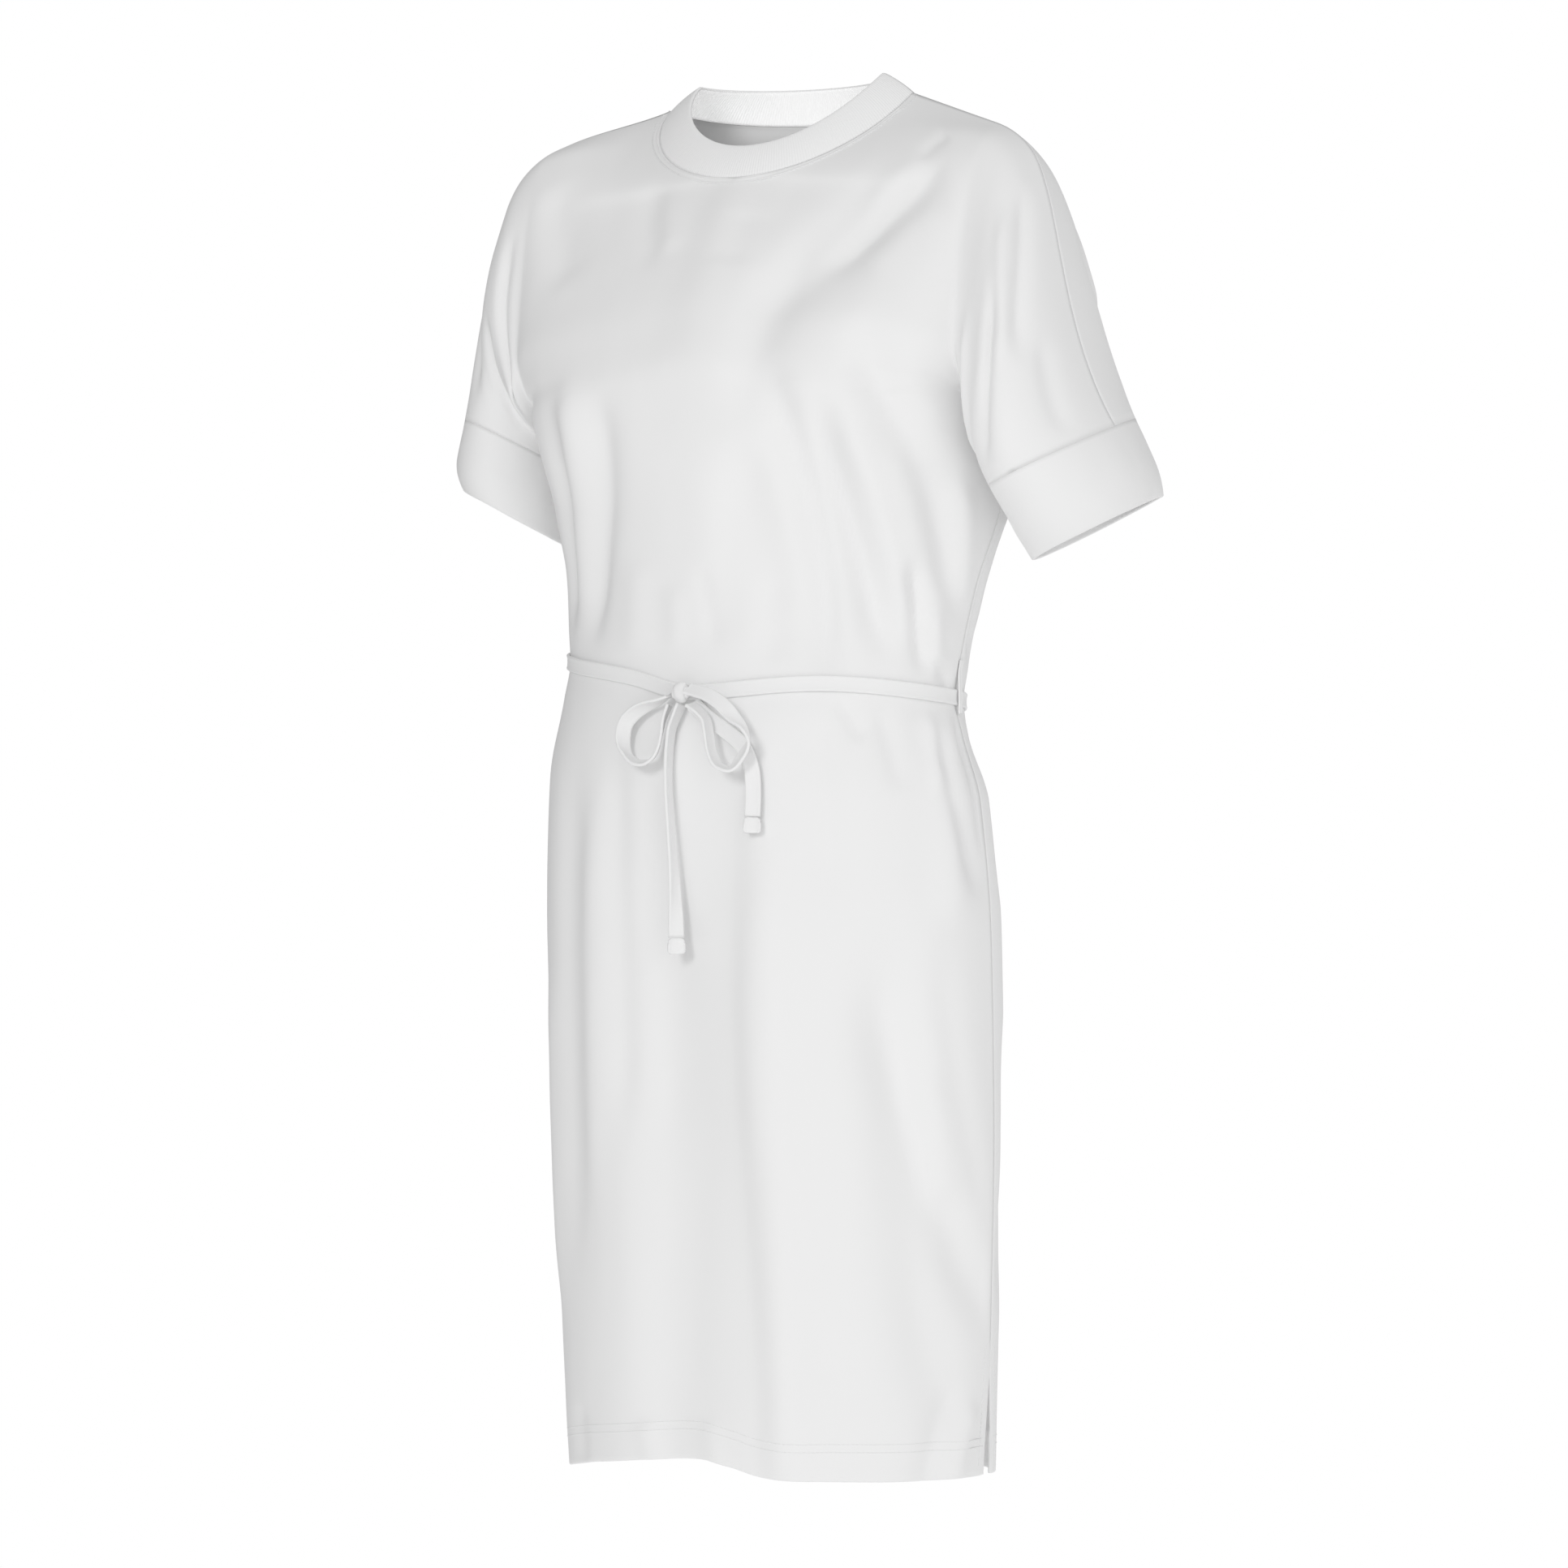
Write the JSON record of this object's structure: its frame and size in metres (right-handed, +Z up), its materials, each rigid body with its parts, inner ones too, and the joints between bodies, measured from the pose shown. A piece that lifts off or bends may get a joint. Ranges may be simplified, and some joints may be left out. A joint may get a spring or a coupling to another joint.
{
  "type": "dress",
  "caption": "Knee-length jersey T-shirt dress in its worn shape, with half sleeves, rib neck band, turned cuffs, side slits and a narrow belt tied in a bow.",
  "frame": {"origin": "midway between the two high shoulder points, where the shoulder seams meet the neck band", "axes": "+X towards the wearer's left, -Y towards the front, +Z up towards the neck"},
  "size_m": [0.5543, 0.2735, 0.9995],
  "materials": {
    "jersey": "matte",
    "rib": "matte",
    "belt_jersey": "matte"
  },
  "bodies": {
    "root": {"front_panel": "jersey", "back_panel": "jersey", "neck_band": "rib", "cuff_left": "jersey", "cuff_right": "jersey", "belt_waist": "belt_jersey", "belt_loop_left": "belt_jersey", "belt_loop_right": "belt_jersey", "bow_knot": "belt_jersey", "bow_loop_right": "belt_jersey", "bow_loop_left": "belt_jersey", "belt_tail_long": "belt_jersey", "belt_tip_long": "belt_jersey", "belt_tail_short": "belt_jersey", "belt_tip_short": "belt_jersey"}
  },
  "joints": []
}
